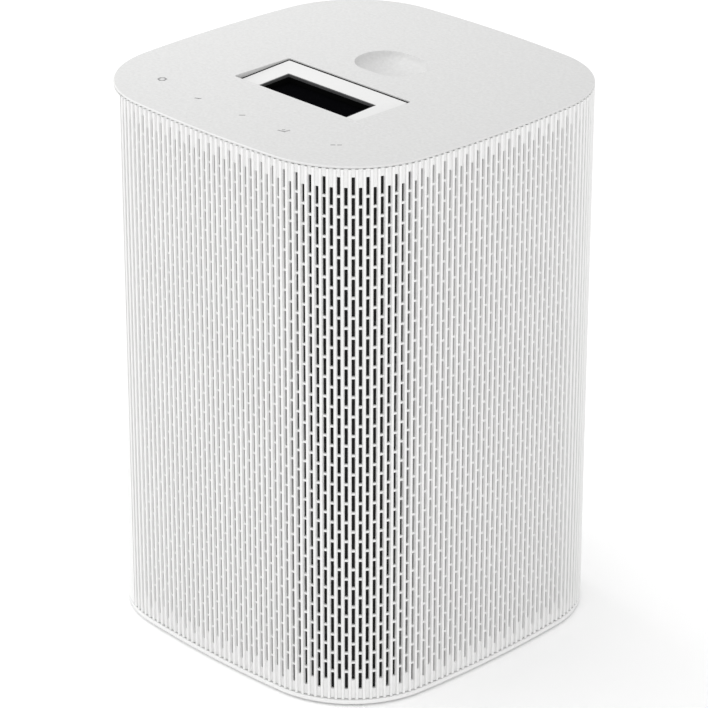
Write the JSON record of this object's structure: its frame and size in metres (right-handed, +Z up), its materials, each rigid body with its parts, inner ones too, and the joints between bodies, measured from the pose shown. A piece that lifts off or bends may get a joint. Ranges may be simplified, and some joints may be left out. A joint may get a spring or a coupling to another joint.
{
  "type": "smart speaker",
  "caption": "Square tower speaker with a ribbed slotted sleeve, a grained touch top with a recessed projection window and an oval dish, ports on one side.",
  "frame": {"origin": "middle of the footprint, on the surface that the foot ring rests on", "axes": "+Z up, -Y the side with the touch marks, -X the side with the ports, +X to the right seen from the touch side"},
  "size_m": [0.14, 0.14, 0.198],
  "materials": {
    "housing_white": "off-white moulded plastic, satin",
    "cover_grain": "off-white plastic with a fine leather grain",
    "liner_black": "black acoustic mesh",
    "dark_plastic": "dark grey moulded plastic",
    "window_glass": "near-black polished glass",
    "lens_glass": "coated optical glass",
    "rubber": "soft black rubber",
    "aluminium": "bead blasted aluminium",
    "steel": "plain steel",
    "board_green": "green circuit board",
    "light_guide": "milky clear plastic",
    "cone_black": "pressed paper fibre cone",
    "mirror_coat": "front surface mirror"
  },
  "bodies": {
    "housing": {"grille_sleeve": "housing_white", "port_panel": "housing_white", "base_tray": "housing_white", "window_tray": "housing_white", "top_cover": "cover_grain", "dust_liner": "liner_black", "port_plate": "dark_plastic", "window_seal": "dark_plastic", "window_glass": "window_glass", "foot_ring": "rubber", "touch_board": "board_green", "speaker_box": "dark_plastic", "woofer_basket": "dark_plastic", "woofer_magnet": "steel", "woofer_surround": "rubber", "passive_frame": "dark_plastic", "passive_surround": "rubber", "tweeter_baffle": "dark_plastic", "tweeter_left": "dark_plastic", "tweeter_right": "dark_plastic", "engine_tray": "aluminium", "engine_housing": "dark_plastic", "lens_barrel": "dark_plastic", "projection_lens": "lens_glass", "mirror": "mirror_coat", "mirror_bracket": "aluminium", "heat_sink": "aluminium", "fan_housing": "dark_plastic", "fan_bearing": "steel", "main_board": "board_green", "shield_can": "steel", "power_board": "board_green", "dc_inlet": "dark_plastic", "usb_socket": "steel", "hdmi_socket": "steel", "power_switch": "dark_plastic", "key_light_guide_1": "light_guide", "key_light_guide_2": "light_guide", "key_light_guide_3": "light_guide", "key_light_guide_4": "light_guide", "key_light_guide_5": "light_guide", "isolation_pad_1": "rubber", "base_screw_1": "steel", "board_screw_1": "steel", "isolation_pad_2": "rubber", "base_screw_2": "steel", "board_screw_2": "steel", "isolation_pad_3": "rubber", "base_screw_3": "steel", "board_screw_3": "steel", "isolation_pad_4": "rubber", "base_screw_4": "steel", "board_screw_4": "steel"},
    "fan": {"fan_rotor": "dark_plastic", "fan_shaft": "steel"},
    "woofer": {"woofer_cone": "cone_black"},
    "passive": {"passive_diaphragm": "cone_black"},
    "button": {"power_button": "housing_white"}
  },
  "joints": [
    {"name": "fan_spin", "type": "hinge", "parent": "housing", "child": "fan", "pos_m": [0.054, 0, 0.134], "axis": [1, 0, 0], "continuous": true},
    {"name": "woofer_travel", "type": "slide", "parent": "housing", "child": "woofer", "axis": [0, -1, 0], "range_m": [-0.0025, 0.0025], "stiffness_N_per_m": 700},
    {"name": "passive_travel", "type": "slide", "parent": "housing", "child": "passive", "axis": [0, 1, 0], "range_m": [-0.0025, 0.0025], "stiffness_N_per_m": 500},
    {"name": "button_press", "type": "slide", "parent": "housing", "child": "button", "axis": [1, 0, 0], "range_m": [0, 0.0008], "stiffness_N_per_m": 250}
  ]
}
